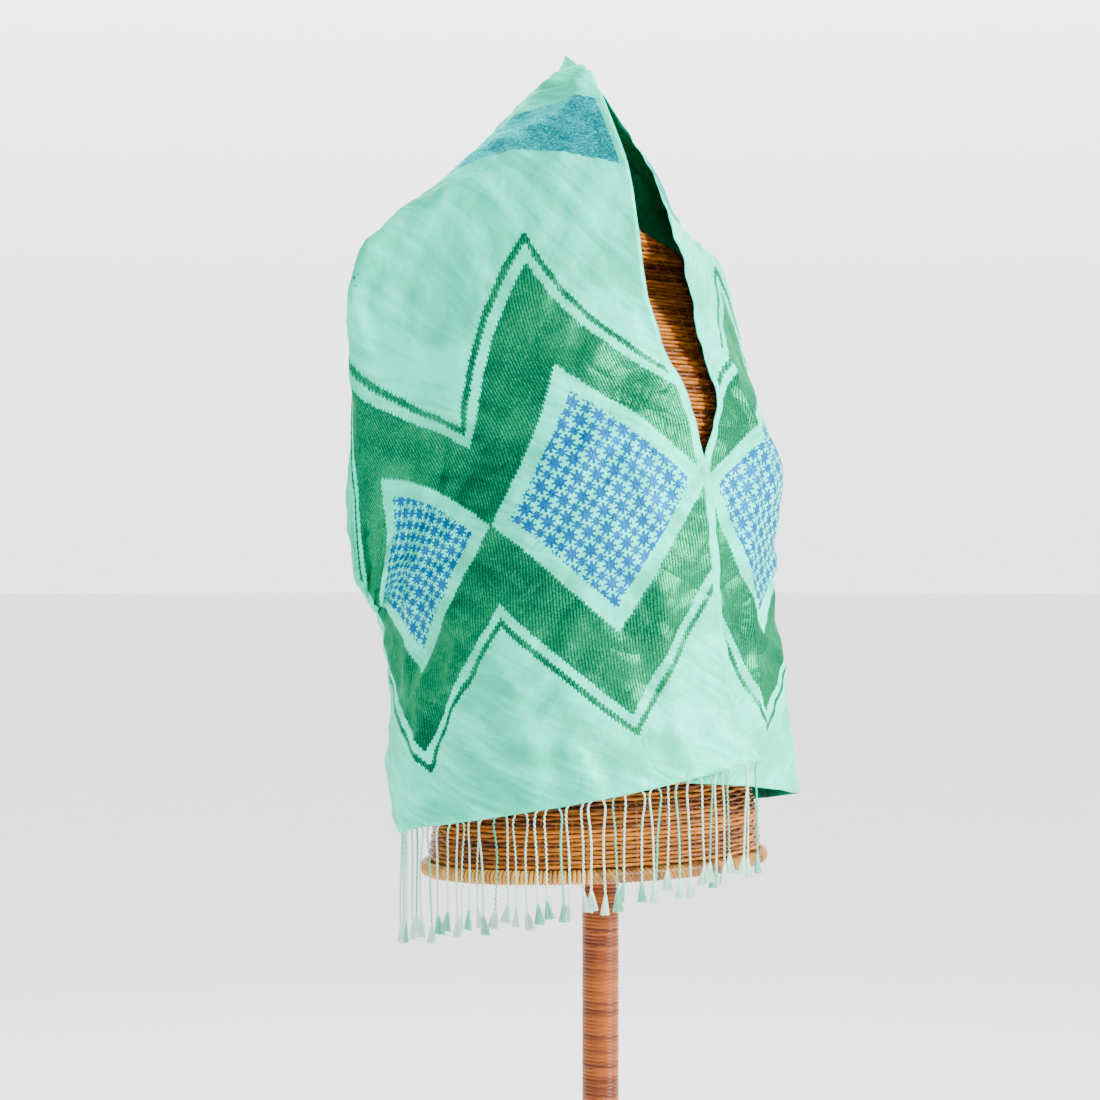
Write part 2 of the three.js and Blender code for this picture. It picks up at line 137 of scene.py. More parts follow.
# finer creases that only the cloth piece has, in the same columns
CREASES = np.array([
    [-88, 46, -93, 24, 5, -3.6, -3.6],        # the flap of the collar lies behind this line
    [-93, 24, -80, 0, 5, -3.6, -3.2],
    [-103, 46, -107, 22, 7, 1.6, 2.0],
    [-107, 22, -92, 0, 7, 2.0, 1.6],
    [-264, 228, -284, 262, 9, 4.0, 2.6],      # point of the right shoulder
    [-198, 104, -250, 42, 8, 1.8, 1.2],       # diagonal of the upper breast
    [-252, 158, -260, 104, 9, -1.2, -1.0],
    [-236, 172, -222, 122, 7, 1.3, 0.9],
    [-214, 150, -204, 108, 6, -0.9, -0.7],
    [-288, 150, -300, 90, 10, 1.2, 0.9],
    [-634, 196, -702, 190, 11, 1.6, 1.4],     # facets above the right hem
    [-640, 158, -718, 140, 10, -1.3, -1.2],
    [-604, 300, -736, 330, 12, 1.5, 2.0],
    [-520, 300, -560, 380, 12, 1.3, 1.0],
    [-430, 330, -520, 352, 13, 1.4, 1.4],
    [-282, 246, -330, 262, 7, 3.2, 0.8],      # pinch below the right shoulder's point
    [-290, 226, -336, 204, 8, 2.4, 0.4],      # slanting crease in front of it
    [-262, 220, -214, 196, 9, 2.2, 0.3],      # and one up to the collar
    [-60, 18, -150, 118, 10, 2.6, 0.6],       # pulls from the peak to the shoulder
    [-30, 26, -70, 150, 9, 2.0, 0.5],
    [-84, 4, -196, 60, 8, 1.8, 0.6],
    [-400, 30, -470, 190, 16, 1.6, 0.8],      # soft pulls across the breast
    [-360, 60, -420, 230, 14, 1.4, 1.0],
    [-560, 60, -735, 66, 13, 1.8, 2.4],       # falls towards the right hem
    [-600, 150, -738, 160, 12, 1.2, 2.2],
    [-570, 250, -738, 262, 13, 1.4, 2.6],
    [-480, 300, -600, 330, 12, 2.2, 1.2],
    [300, 20, 372, 34, 8, 2.2, 1.2],          # far front
    [352, 26, 470, 96, 9, 3.0, 1.4],
    [430, 60, 700, 92, 11, 2.6, 1.8],
    [470, 190, 738, 196, 10, 2.0, 2.6],
    [400, 150, 560, 236, 10, 2.4, 1.0],
    [600, 250, 738, 262, 12, 1.5, 2.4],
    [300, 200, 330, 300, 10, 2.2, 1.4],       # side of the left arm
    [270, 250, 300, 390, 10, 1.5, 2.2],
    [-60, 120, -84, 392, 12, 0.6, 3.0],       # back
    [2, 140, 4, 392, 12, 0.6, 2.8],
    [58, 150, 70, 392, 12, 0.6, 3.0],
    [132, 190, 146, 392, 12, 0.6, 2.6],
    [-148, 180, -166, 392, 12, 0.6, 2.6],
    [-200, 240, -226, 396, 12, 1.0, 2.4],
    [60, 20, 100, 130, 9, 1.8, 0.5],          # left collar
    [120, 10, 196, 90, 9, 1.8, 0.6],
], float)
# the form from the top: z, half width, front, back, squareness, lean
FORM = np.array([
    [1392, 8, 14, 30, 2, -8], [1388, 16, 6, 38, 2, -8], [1378, 20, 2, 42, 2, -8],
    [1340, 20, 2, 42, 2, -8], [1310, 26, -4, 48, 2, -8], [1292, 44, -12, 62, 2, -8],
    [1276, 92, -16, 76, 2, -8], [1260, 144, -16, 82, 2.1, -7], [1242, 181.3, -14, 84, 2.2, -6.8],
    [1226, 184.6, -22, 88, 2.2, -7], [1200, 170, -50, 92, 2.1, -7], [1160, 146, -82, 96, 2, -8],
    [1110, 138, -104, 94, 2, -6], [1070, 134, -110, 90, 2, -4], [1030, 130, -102, 86, 2, -2],
    [960, 126, -90, 82, 2, 0], [900, 132, -90, 86, 2, 0], [840, 146, -98, 98, 2, 0],
    [780, 160, -106, 110, 2, 0], [730, 170, -112, 119, 2, 0], [705, 172, -112, 121, 2, 0],
], float)[::-1]


# ---- curves and surfaces ---------------------------------------------------
def through(rows, at):
    """Smooth curve through table rows, read at many distances.

    Cubic Hermite pieces. The slope at an inner row is the two neighbouring
    slopes, each weighed by the other's step; the end slopes are the end steps'.
    """
    x, y = rows[:, 0], rows[:, 1:]
    step = np.diff(x)[:, None]
    slope = np.diff(y, axis=0) / step
    tangent = np.concatenate([
        slope[:1],
        (slope[:-1] * step[1:] + slope[1:] * step[:-1]) / (step[1:] + step[:-1]),
        slope[-1:],
    ])
    i = np.clip(np.searchsorted(x, at, side="right") - 1, 0, len(step) - 1)
    h = step[i]
    t = (np.asarray(at) - x[i])[..., None] / h
    return ((2 * t**3 - 3 * t**2 + 1) * y[i] + (t**3 - 2 * t**2 + t) * h * tangent[i]
            + (3 * t**2 - 2 * t**3) * y[i + 1] + (t**3 - t**2) * h * tangent[i + 1])


def both_halves(right, left, turns=0):
    """Right half's rows, reversed with along < 0 and its turns mirrored, before the left's."""
    other = right[1:][::-1].copy()
    other[:, 0] *= -1
    if turns:
        other[:, 1:1 + turns] = 180 - other[:, 1:1 + turns]
    return np.concatenate([other, left])


EDGE = both_halves(RIGHT_EDGE, LEFT_EDGE)
FALL = both_halves(RIGHT_FALL, LEFT_FALL, turns=len(SHARES))


def form_ring(z):
    """Half width, middle, half depth, squareness and lean of the form at heights z (mm)."""
    half, front, back, square, lean = np.moveaxis(
        through(FORM, np.clip(z, FORM[0, 0], FORM[-1, 0])), -1, 0)
    return half, (front + back) / 2, (back - front) / 2, square, lean


def clear_of_hips(points, gap, softness):
    """Moves points level, away from the form's middle, until they are gap outside the hips.

    The push is softness * log(1 + exp((need - radius) / softness)), faded out
    over the 80 mm below HIP_TOP.
    """
    half, middle, depth, square, _ = form_ring(points[..., 2])
    x, y = points[..., 0], points[..., 1] - middle
    radius = np.hypot(x, y)
    share = ((np.abs(x) / half) ** square + (np.abs(y) / depth) ** square) ** (-1 / square)
    need = radius * share + gap
    fade = np.clip((HIP_TOP - points[..., 2]) / 80, 0, 1)
    fade = fade * fade * (3 - 2 * fade)
    push = softness * np.log1p(np.exp(np.clip((need - radius) / softness, -60, 60))) * fade
    factor = 1 + push / radius
    return np.stack([x * factor, middle + y * factor, points[..., 2]], axis=-1)


def drape(along, across):
    """Plain surface of the cloth on a grid of distances along and across it (mm).

    Each line across starts on the inner edge and runs in 80 equal steps in the
    direction (turn, climb) read from the fall table at the middle of the step.
    """
    steps = 80
    start = through(EDGE, along)
    rows = through(FALL, along)
    middles = (np.arange(steps) + 0.5) / steps
    # the curve through the five shares is linear in their values, so it is one matrix
    weights = through(np.column_stack([SHARES, np.eye(len(SHARES))]), middles)
    turn = np.radians(rows[:, :5] @ weights.T)
    climb = np.radians(rows[:, 5:] @ weights.T)
    way = np.stack([np.cos(climb) * np.cos(turn), np.cos(climb) * np.sin(turn), np.sin(climb)], axis=-1)
    line = start[:, None] + np.concatenate(
        [np.zeros((len(along), 1, 3)), np.cumsum(way, axis=1) * SHAWL_WIDTH / steps], axis=1)
    at = np.clip(across / SHAWL_WIDTH * steps, 0, steps)
    i = np.minimum(at.astype(int), steps - 1)
    t = (at - i)[None, :, None]
    return clear_of_hips(line[:, i] * (1 - t) + line[:, i + 1] * t, HIP_GAP, 4)


def ridge_height(table, along, across):
    """Sum of soft ridges on the grid: each is its height times exp(-(distance / half width)^2)."""
    a, c = np.meshgrid(along, across, indexing="ij")
    height = np.zeros_like(a)
    for a1, c1, a2, c2, half, h1, h2 in table:
        da, dc = a2 - a1, c2 - c1
        t = np.clip(((a - a1) * da + (c - c1) * dc) / (da * da + dc * dc), 0, 1)
        away = ((a - a1 - t * da) ** 2 + (c - c1 - t * dc) ** 2) / half**2
        height += (h1 + (h2 - h1) * t) * np.exp(-away)
    return height


def slack(along, across):
    """Low waves of loose cloth (mm): crossed sines about 200, 110, 60 and 30 mm long, their
    phases bent by other sines, and larger ones towards the hems and the outer edge."""
    a, c = np.meshgrid(along, across, indexing="ij")
    wave = (np.sin(a / 31 + 2.1 * np.sin(c / 57)) * np.cos(c / 43 + 0.6 * np.sin(a / 70))
            + 0.6 * np.sin(a / 17 + c / 29) * np.sin(c / 23 - a / 61))
    across_bend, along_bend = np.sin(c / 21 + a / 83), np.sin(a / 27 - c / 90)
    facet = (1 + np.sin(a / 9.7 + 1.9 * across_bend) * np.sin(c / 11.3 + 1.6 * along_bend)
             + 0.35 * np.sin(a / 4.6 + 2.2 * np.sin(c / 13)) * np.sin(c / 5.9 + 1.7 * np.sin(a / 15)))
    hem = np.clip((np.abs(a) - 560) / 180, 0, 1) ** 1.5
    hem_wave = np.sin(c / 13.5 + 1.3 * np.sin(c / 41) + np.sign(a) * 0.8)
    edge = np.clip((c - 330) / 70, 0, 1) ** 2
    edge_wave = np.sin(a / 15 + 1.1 * np.sin(a / 37))
    return 0.7 * wave + 1.7 * facet + 1.5 * hem * hem_wave + 0.9 * edge * edge_wave


def cloth_at(along, across):
    """Points of the draped cloth and its outward directions, on a grid (mm)."""
    d = 2.0
    ahead, behind = np.minimum(along + d, HALF_LENGTH), np.maximum(along - d, -HALF_LENGTH)
    outer, inner = np.minimum(across + d, SHAWL_WIDTH), np.maximum(across - d, 0)
    along_way = drape(ahead, across) - drape(behind, across)
    across_way = drape(along, outer) - drape(along, inner)
    out = unit(np.cross(along_way, across_way))
    creases = CREASE_SCALE * ridge_height(CREASES, along, across)
    height = ridge_height(FOLDS, along, across) + creases + slack(along, across)
    return drape(along, across) + out * height[..., None], out


# ---- meshes -----------------------------------------------------------------
def grid_quads(rows, columns, wrap_rows=False, wrap_columns=False):
    """Corner numbers of the quads between neighbours of a rows x columns grid of vertices."""
    i, j = np.meshgrid(np.arange(rows if wrap_rows else rows - 1),
                       np.arange(columns if wrap_columns else columns - 1), indexing="ij")
    k, m = (i + 1) % rows, (j + 1) % columns
    corners = [i * columns + j, k * columns + j, k * columns + m, i * columns + m]
    return np.stack(corners, axis=-1).reshape(-1, 4)


def add_mesh(name, points, quads, materials, slots=None, uv=None, tone=None):
    """Smooth object in metres from points in mm, with an optional UV (vertex-wise) and tone."""
    mesh = bpy.data.meshes.new(name)
    mesh.vertices.add(len(points))
    mesh.vertices.foreach_set("co", (np.asarray(points) * MM).astype(np.float32).ravel())
    mesh.loops.add(quads.size)
    mesh.loops.foreach_set("vertex_index", quads.astype(np.int32).ravel())
    mesh.polygons.add(len(quads))
    mesh.polygons.foreach_set("loop_start", np.arange(0, quads.size, 4, dtype=np.int32))
    mesh.polygons.foreach_set("use_smooth", np.full(len(quads), True))
    for finish in materials:
        mesh.materials.append(finish)
    if slots is not None:
        mesh.polygons.foreach_set("material_index", slots.astype(np.int32))
    if uv is not None:
        layer = mesh.uv_layers.new(name="lay")
        layer.data.foreach_set("uv", uv[quads.ravel()].astype(np.float32).ravel())
    if tone is not None:
        attribute = mesh.attributes.new("tone", "FLOAT", "POINT")
        attribute.data.foreach_set("value", tone.astype(np.float32).ravel())
    mesh.update(calc_edges=True)
    mesh.validate()
    made = bpy.data.objects.new(name, mesh)
    bpy.context.scene.collection.objects.link(made)
    return made


def unit(vectors):
    """Vectors scaled to length 1."""
    return vectors / np.linalg.norm(vectors, axis=-1, keepdims=True)


def tubes(paths, radii, sides, reference, arc=2 * math.pi):
    """Round tubes along many paths at once.

    paths is (count, stations, 3) and radii (count, stations). The ring at a
    station is centre + radius * (cos a * n + sin a * b), where n is reference
    made square to the path and b is the path's direction x n. With an arc
    under a full turn only the side towards reference is made.
    """
    count, stations, _ = paths.shape
    way = unit(np.gradient(paths, axis=1))
    n = unit(reference - (reference * way).sum(-1, keepdims=True) * way)
    b = np.cross(way, n)
    whole = arc >= 2 * math.pi
    a = np.arange(sides) * arc / sides if whole else (np.arange(sides) / (sides - 1) - 0.5) * arc
    ring = np.cos(a)[:, None] * n[:, :, None] + np.sin(a)[:, None] * b[:, :, None]
    points = paths[:, :, None] + radii[:, :, None, None] * ring
    one = grid_quads(stations, sides, wrap_columns=whole)
    quads = (one[None] + (np.arange(count) * stations * sides)[:, None, None]).reshape(-1, 4)
    return points.reshape(-1, 3), quads


def joined(parts):
    """Several (points, quads, tone) sets as one."""
    offset, points, quads, tones = 0, [], [], []
    for p, q, t in parts:
        points.append(p)
        quads.append(q + offset)
        tones.append(np.broadcast_to(t, (len(p),)))
        offset += len(p)
    return np.concatenate(points), np.concatenate(quads), np.concatenate(tones)


# ---- shader helpers ------------------------------------------------------------
def srgb(red, green, blue):
    """Linear RGBA of an 8-bit screen colour."""
    return tuple(((c / 255 + 0.055) / 1.055) ** 2.4 if c > 10 else c / 255 / 12.92
                 for c in (red, green, blue)) + (1.0,)


class Tree:
    """Small writer of node trees: each call adds a node and returns its output."""

    def __init__(self, tree):
        self.tree = tree

    def node(self, kind, inputs=(), **settings):
        made = self.tree.nodes.new(kind)
        for key, value in settings.items():
            setattr(made, key, value)
        for key, value in dict(inputs).items():
            self.feed(made.inputs[key], value)
        return made

    def feed(self, socket, value):
        if isinstance(value, bpy.types.NodeSocket):
            self.tree.links.new(value, socket)
        else:
            socket.default_value = value

    def math(self, operation, a, b=0.0, c=0.0):
        return self.node("ShaderNodeMath", {0: a, 1: b, 2: c}, operation=operation).outputs[0]

    def between(self, value, low, high):
        """1 where low < value < high."""
        above, below = self.math("GREATER_THAN", value, low), self.math("LESS_THAN", value, high)
        return self.math("MULTIPLY", above, below)

    def smooth(self, value, low, high, out_low=0.0, out_high=1.0):
        return self.node("ShaderNodeMapRange", {"Value": value, "From Min": low, "From Max": high,
                                                "To Min": out_low, "To Max": out_high},
                         interpolation_type="SMOOTHSTEP").outputs["Result"]

    def mix(self, factor, a, b):
        made = self.node("ShaderNodeMix", data_type="RGBA")
        self.feed(made.inputs[0], factor)
        self.feed(made.inputs[6], a)
        self.feed(made.inputs[7], b)
        return made.outputs[2]

    def noise(self, vector, scale, detail=2.0, roughness=0.5):
        return self.node("ShaderNodeTexNoise", {"Vector": vector, "Scale": scale, "Detail": detail,
                                                "Roughness": roughness}).outputs["Fac"]

    def white(self, vector):
        made = self.node("ShaderNodeTexWhiteNoise", {"Vector": vector}, noise_dimensions="3D")
        return made.outputs["Value"]

    def xyz(self, x, y, z=0.0):
        return self.node("ShaderNodeCombineXYZ", {0: x, 1: y, 2: z}).outputs[0]

    def split(self, vector):
        return self.node("ShaderNodeSeparateXYZ", {0: vector}).outputs

    def bump(self, height, distance, strength, normal=None):
        made = self.node("ShaderNodeBump", {"Height": height, "Distance": distance, "Strength": strength})
        if normal is not None:
            self.feed(made.inputs["Normal"], normal)
        return made.outputs["Normal"]


def group(name, inputs, outputs, fill):
    """Shader node group with named sockets; fill(tree, inputs) returns its outputs by name."""
    made = bpy.data.node_groups.new(name, "ShaderNodeTree")
    for key, (kind, value) in inputs.items():
        socket = made.interface.new_socket(name=key, in_out="INPUT", socket_type=kind)
        if value is not None:
            socket.default_value = value
    for key, kind in outputs.items():
        made.interface.new_socket(name=key, in_out="OUTPUT", socket_type=kind)
    tree = Tree(made)
    entry = made.nodes.new("NodeGroupInput")
    leave = made.nodes.new("NodeGroupOutput")
    for key, value in fill(tree, {k: entry.outputs[k] for k in inputs}).items():
        tree.feed(leave.inputs[key], value)
    return made


def material(name, fill, **constants):
    """Principled material; fill(tree) returns what is linked, constants are set on its own sockets."""
    made = bpy.data.materials.new(name)
    made.use_nodes = True
    made.node_tree.nodes.clear()
    tree = Tree(made.node_tree)
    surface = tree.node("ShaderNodeBsdfPrincipled", {k.replace("_", " "): v for k, v in constants.items()})
    for key, value in fill(tree).items():
        tree.feed(surface.inputs[key], value)
    end = tree.node("ShaderNodeOutputMaterial")
    tree.tree.links.new(surface.outputs[0], end.inputs[0])
    return made


FLOAT, VECTOR = "NodeSocketFloat", "NodeSocketVector"


def figure_masks(t, given):
    """Where each woven figure lies, from the cloth's own UV (metres along and across).

    The edges step with the threads: across is rounded down to the rib, and
    each rib ends in a tooth, TOOTH longer in its valley, give or take RAGGED / 2.
    A triangle wave across the cloth and the distance from the figure's middle
    line add up to the lozenge measure D: under STAR_FIELD is the star ground,
    inside ZIGZAG are the green zigzags, and inside OUTLINE is a thin outline.
    """
    u, v, _ = t.split(given["UV"])
    along = t.math("MULTIPLY", t.math("ABSOLUTE", u), 1000)
    across = t.math("MULTIPLY", v, 1000)
    ribs = t.math("DIVIDE", across, RIB)
    rib = t.math("FLOOR", ribs)
    off_middle = t.math("ABSOLUTE", t.math("SUBTRACT", t.math("FRACT", ribs), 0.5))
    tooth = t.math("MULTIPLY", off_middle, 2 * TOOTH)
    ragged = t.math("MULTIPLY", t.white(t.xyz(rib, 3.0)), RAGGED)
    period = t.math("FRACT", t.math("DIVIDE", t.math("MULTIPLY", rib, RIB), ZIGZAG_PERIOD))
    wave = t.math("ABSOLUTE", t.math("SUBTRACT", t.math("MULTIPLY", period, 2), 1))
    middle = t.math("ABSOLUTE", t.math("SUBTRACT", along, ZIGZAG_MIDDLE))
    a = t.math("ADD", middle, t.math("SUBTRACT", ragged, tooth))
    d = t.math("ADD", t.math("DIVIDE", a, ZIGZAG_DEPTH), wave)
    inside = t.between(across, PLAIN_EDGE, SHAWL_WIDTH - PLAIN_EDGE)
    zigzags = t.math("ADD", t.between(d, *ZIGZAG), t.between(d, *OUTLINE))
    plain = t.between(across, SELVEDGE_WIDTH, SHAWL_WIDTH - SELVEDGE_WIDTH)
    return {
        "Along": along,
        "Across": across,
        "Green": t.math("MULTIPLY", zigzags, inside),
        "Blue": t.math("MULTIPLY", t.math("LESS_THAN", d, STAR_FIELD), inside),
        "Band": t.math("MULTIPLY", t.between(t.math("ADD", along, ragged), *BAND), inside),
        "Selvedge": t.math("SUBTRACT", 1, plain),
    }


def star_ground(t, given):
    """Small eight-pointed stars of the repeat, with smaller ones half a repeat away both ways.

    A star reaches its radius times 0.76 + 0.24 cos(8 * angle). Along is rounded
    to 1 mm and across to half a rib, so the threads give each star its jagged edge.
    """
    half_rib = RIB / 2
    number = t.math("FLOOR", t.math("DIVIDE", given["Across"], half_rib))
    rib = t.math("MULTIPLY", t.math("ADD", number, 0.5), half_rib)
    step = t.math("ADD", t.math("FLOOR", given["Along"]), 0.5)

    def away(value, shift):
        turns = t.math("FRACT", t.math("DIVIDE", t.math("ADD", value, shift), REPEAT))
        return t.math("MULTIPLY", t.math("SUBTRACT", turns, 0.5), REPEAT)

    def star(shift, radius):
        x, y = away(step, shift), away(rib, shift)
        points = t.math("COSINE", t.math("MULTIPLY", t.math("ARCTAN2", y, x), 8))
        reach = t.math("MULTIPLY_ADD", points, 0.24 * radius, 0.76 * radius)
        far = t.math("SQRT", t.math("ADD", t.math("MULTIPLY", x, x), t.math("MULTIPLY", y, y)))
        return t.math("LESS_THAN", far, reach)

    return {"Star": t.math("MAXIMUM", star(0.0, STAR), star(REPEAT / 2, SMALL_STAR))}


def metal_thread(t, given):
    """Ribs of the metallic weft: a dark valley each RIB across; glitter, one random value for each
    short float of thread, partly the thread's uneven tone and partly painted glints; and broad
    patches of painted highlight, as if the floats lay towards the light."""
    along, across = given["Along"], given["Across"]
    phase = t.math("FRACT", t.math("DIVIDE", across, RIB))
    valley = t.math("SUBTRACT", 1, t.math("SINE", t.math("MULTIPLY", phase, math.pi)))
    number = t.math("FLOOR", t.math("DIVIDE", along, FLOAT_LENGTH))
    row = t.math("FLOOR", t.math("DIVIDE", across, RIB / 2))
    leaning = t.math("MULTIPLY_ADD", across, 0.010, t.math("MULTIPLY", along, 0.004))
    broad = t.noise(t.xyz(t.math("MULTIPLY", along, 0.011), leaning, 2.0), 1.0, 1.0)
    return {
        "Valley": t.math("POWER", valley, 1.3),
        "Glitter": t.white(t.xyz(number, row, 7.0)),
        "PaintedHighlight": t.smooth(broad, 0.47, 0.6),
    }


def silk_weave(t, given):
    """Height of the fine plain weave, of the crinkle of silk, and soft patches of painted sheen:
    paler and deeper patches and streaks that stand in for light and shade on the silk's facets.

    A crinkle grows with the distance of a noise from its middle value, to the
    power 0.8, so each place where the noise crosses it is a little crease. The
    large ones are drawn out on a slant, and the small ones lie square to them.
    """
    along, across = given["Along"], given["Across"]
    warp = t.math("SINE", t.math("MULTIPLY", across, 2 * math.pi / SILK_PITCH))
    weft = t.math("SINE", t.math("MULTIPLY", along, 2 * math.pi / SILK_PITCH))
    slant = t.math("ADD", along, t.math("MULTIPLY", across, 0.8))
    square = t.math("SUBTRACT", across, t.math("MULTIPLY", along, 0.8))

    def stretched(per_slant, per_square, seed):
        return t.xyz(t.math("MULTIPLY", slant, per_slant), t.math("MULTIPLY", square, per_square), seed)

    def creases(per_slant, per_square, seed):
        value = t.noise(stretched(per_slant, per_square, seed), 1.0, 1.0, 0.45)
        away = t.math("ABSOLUTE", t.math("SUBTRACT", value, 0.5))
        return t.math("POWER", t.math("MULTIPLY", away, 2), 0.8)

    large = creases(0.024, 0.008, 3.0)
    small = creases(0.04, 0.055, 8.0)
    patch = t.noise(stretched(0.017, 0.011, 5.0), 1.0, 3.0)
    streak = t.noise(stretched(0.12, 0.012, 9.0), 1.0, 3.0, 0.6)
    # painted sheen: patches and streaks that the colour follows, standing in for light on the silk
    sheen_mottle = t.math("MULTIPLY_ADD", t.math("SUBTRACT", streak, 0.5), 0.55, patch)
    return {"Weave": t.math("MULTIPLY", warp, weft), "SheenMottle": sheen_mottle,
            "Crinkle": t.math("ADD", large, t.math("MULTIPLY", small, 0.35))}


NUMBERS = {"Along": (FLOAT, 0.0), "Across": (FLOAT, 0.0)}
FIGURES = group("woven_figures", {"UV": (VECTOR, None)},
                {k: FLOAT for k in ("Along", "Across", "Green", "Blue", "Band", "Selvedge")}, figure_masks)
STARS = group("star_ground", NUMBERS, {"Star": FLOAT}, star_ground)
THREAD = group("metal_thread", NUMBERS, {k: FLOAT for k in ("Valley", "Glitter", "PaintedHighlight")}, metal_thread)
WEAVE = group("silk_weave", NUMBERS, {k: FLOAT for k in ("Weave", "Crinkle", "SheenMottle")}, silk_weave)


def use(tree, made, **inputs):
    """Outputs of a node group placed in the tree, with its inputs fed by name."""
    node = tree.node("ShaderNodeGroup", node_tree=made)
    for key, value in inputs.items():
        tree.feed(node.inputs[key], value)
    return node.outputs


def outside(t):
    """Face of the shawl: mint silk, green and blue metallic figures, turquoise bands."""
    f = use(t, FIGURES, UV=t.node("ShaderNodeUVMap", uv_map="lay").outputs[0])
    at = {"Along": f["Along"], "Across": f["Across"]}
    star = use(t, STARS, **at)["Star"]
    metal, silk = use(t, THREAD, **at), use(t, WEAVE, **at)
    # mint made paler and deeper by the painted sheen patches
    mint = t.mix(t.smooth(silk["SheenMottle"], 0.38, 0.62), MINT_DEEP, MINT_PALE)
    # painted light on the figures: glitter brightens floats as painted glints, and the painted highlight
    # patches brighten the green and lighten its valleys
    painted_glint = t.math("POWER", metal["Glitter"], 3.0)
    floats = t.math("MULTIPLY_ADD", metal["PaintedHighlight"], 0.16, t.math("MULTIPLY_ADD", painted_glint, 0.55, 0.14))
    green = t.mix(floats, GREEN_DEEP, GREEN_BRIGHT)
    green = t.mix(t.math("MULTIPLY", metal["Valley"], t.math("MULTIPLY_ADD", metal["PaintedHighlight"], -0.2, 0.94)),
                  green, GREEN_DARK)
    blue = t.mix(metal["Glitter"], BLUE_DEEP, BLUE_BRIGHT)
    band = t.mix(painted_glint, BAND_DEEP, BAND_BRIGHT)
    blue_mask = t.math("MULTIPLY", f["Blue"], star)
    colour = t.mix(t.math("MULTIPLY", f["Blue"], 0.5), mint, STAR_GROUND)
    colour = t.mix(f["Band"], t.mix(f["Green"], colour, green), band)
    colour = t.mix(blue_mask, colour, blue)
    colour = t.mix(t.math("MULTIPLY", f["Selvedge"], 0.5), colour, SELVEDGE)
    figure = t.math("ADD", t.math("ADD", f["Green"], f["Band"]), t.math("MULTIPLY", blue_mask, 0.4))
    metallic = t.math("ADD", t.math("MULTIPLY", figure, 0.7), 0.15)
    rough = t.math("SUBTRACT", 0.5, t.math("MULTIPLY", figure, 0.08))
    ribs = t.math("MULTIPLY", metal["Valley"], t.math("ADD", f["Green"], blue_mask))
    glint = t.math("MULTIPLY", metal["Glitter"], figure)
    height = t.math("SUBTRACT", t.math("ADD", t.math("MULTIPLY", silk["Weave"], 0.12),
                                       t.math("MULTIPLY", glint, 0.8)), ribs)
    normal = t.bump(height, 0.00025, 0.6, t.bump(silk["Crinkle"], 0.004, 0.6))
    return {"Base Color": colour, "Metallic": metallic, "Roughness": rough, "Normal": normal}


def inside(t):
    """Reverse of the shawl: dark emerald, partly the cloth's own green and partly painted shade of the hollow
    folds; paler at the hems, as painted light.
    """
    f = use(t, FIGURES, UV=t.node("ShaderNodeUVMap", uv_map="lay").outputs[0])
    at = {"Along": f["Along"], "Across": f["Across"]}
    silk = use(t, WEAVE, **at)
    # the reverse made paler and deeper by the painted sheen patches
    colour = t.mix(t.smooth(silk["SheenMottle"], 0.3, 0.7), REVERSE_SHADED, REVERSE_LIT)
    # painted light: the reverse grows paler towards the hem, where it opens to the light
    colour = t.mix(t.smooth(f["Along"], *HEM_LIGHT_FADE, 0.0, 0.6), colour, REVERSE_HEM_LIT)
    colour = t.mix(t.math("MULTIPLY", f["Selvedge"], 0.5), colour, MINT_DEEP)
    normal = t.bump(silk["Weave"], 0.00015, 0.5, t.bump(silk["Crinkle"], 0.003, 0.6))
    return {"Base Color": colour, "Normal": normal}


def threads(t):
    """Fringe thread: the strand's own tone, with the spun thread's fine streaks."""
    tone = t.node("ShaderNodeAttribute", attribute_name="tone", attribute_type="GEOMETRY").outputs["Fac"]
    place = t.node("ShaderNodeTexCoord").outputs["Object"]
    streak = t.noise(place, 900.0, 2.0)
    colour = t.mix(tone, THREAD_TEAL, THREAD_PALE)
    colour = t.mix(t.math("MULTIPLY", streak, 0.3), colour, THREAD_TEAL)
    return {"Base Color": colour, "Normal": t.bump(streak, 0.0002, 0.5)}


def cane(deep, lit, pale, stretch):
    """Cane: tone for each length of it, with grain streaks along it and darker flecks."""
    def fill(t):
        tone = t.node("ShaderNodeAttribute", attribute_name="tone", attribute_type="GEOMETRY").outputs["Fac"]
        place = t.node("ShaderNodeTexCoord").outputs["Object"]
        x, y, z = t.split(place)
        stretched = t.xyz(t.math("MULTIPLY", x, stretch[0]), t.math("MULTIPLY", y, stretch[1]),
                          t.math("MULTIPLY", z, stretch[2]))
        grain = t.noise(stretched, 1.0, 3.0, 0.6)
        patch = t.noise(place, 26.0, 3.0, 0.6)
        light = t.math("ADD", t.math("MULTIPLY", tone, 0.6), t.math("MULTIPLY", patch, 0.5))
        colour = t.mix(t.smooth(light, 0.25, 0.85), deep, lit)
        colour = t.mix(t.smooth(grain, 0.55, 0.8, 0.0, 0.6), colour, pale)
        colour = t.mix(t.smooth(grain, 0.42, 0.25, 0.0, 0.45), colour, deep)
        rough = t.smooth(patch, 0.3, 0.7, 0.34, 0.5)
        return {"Base Color": colour, "Roughness": rough, "Normal": t.bump(grain, 0.0004, 0.5)}
    return fill


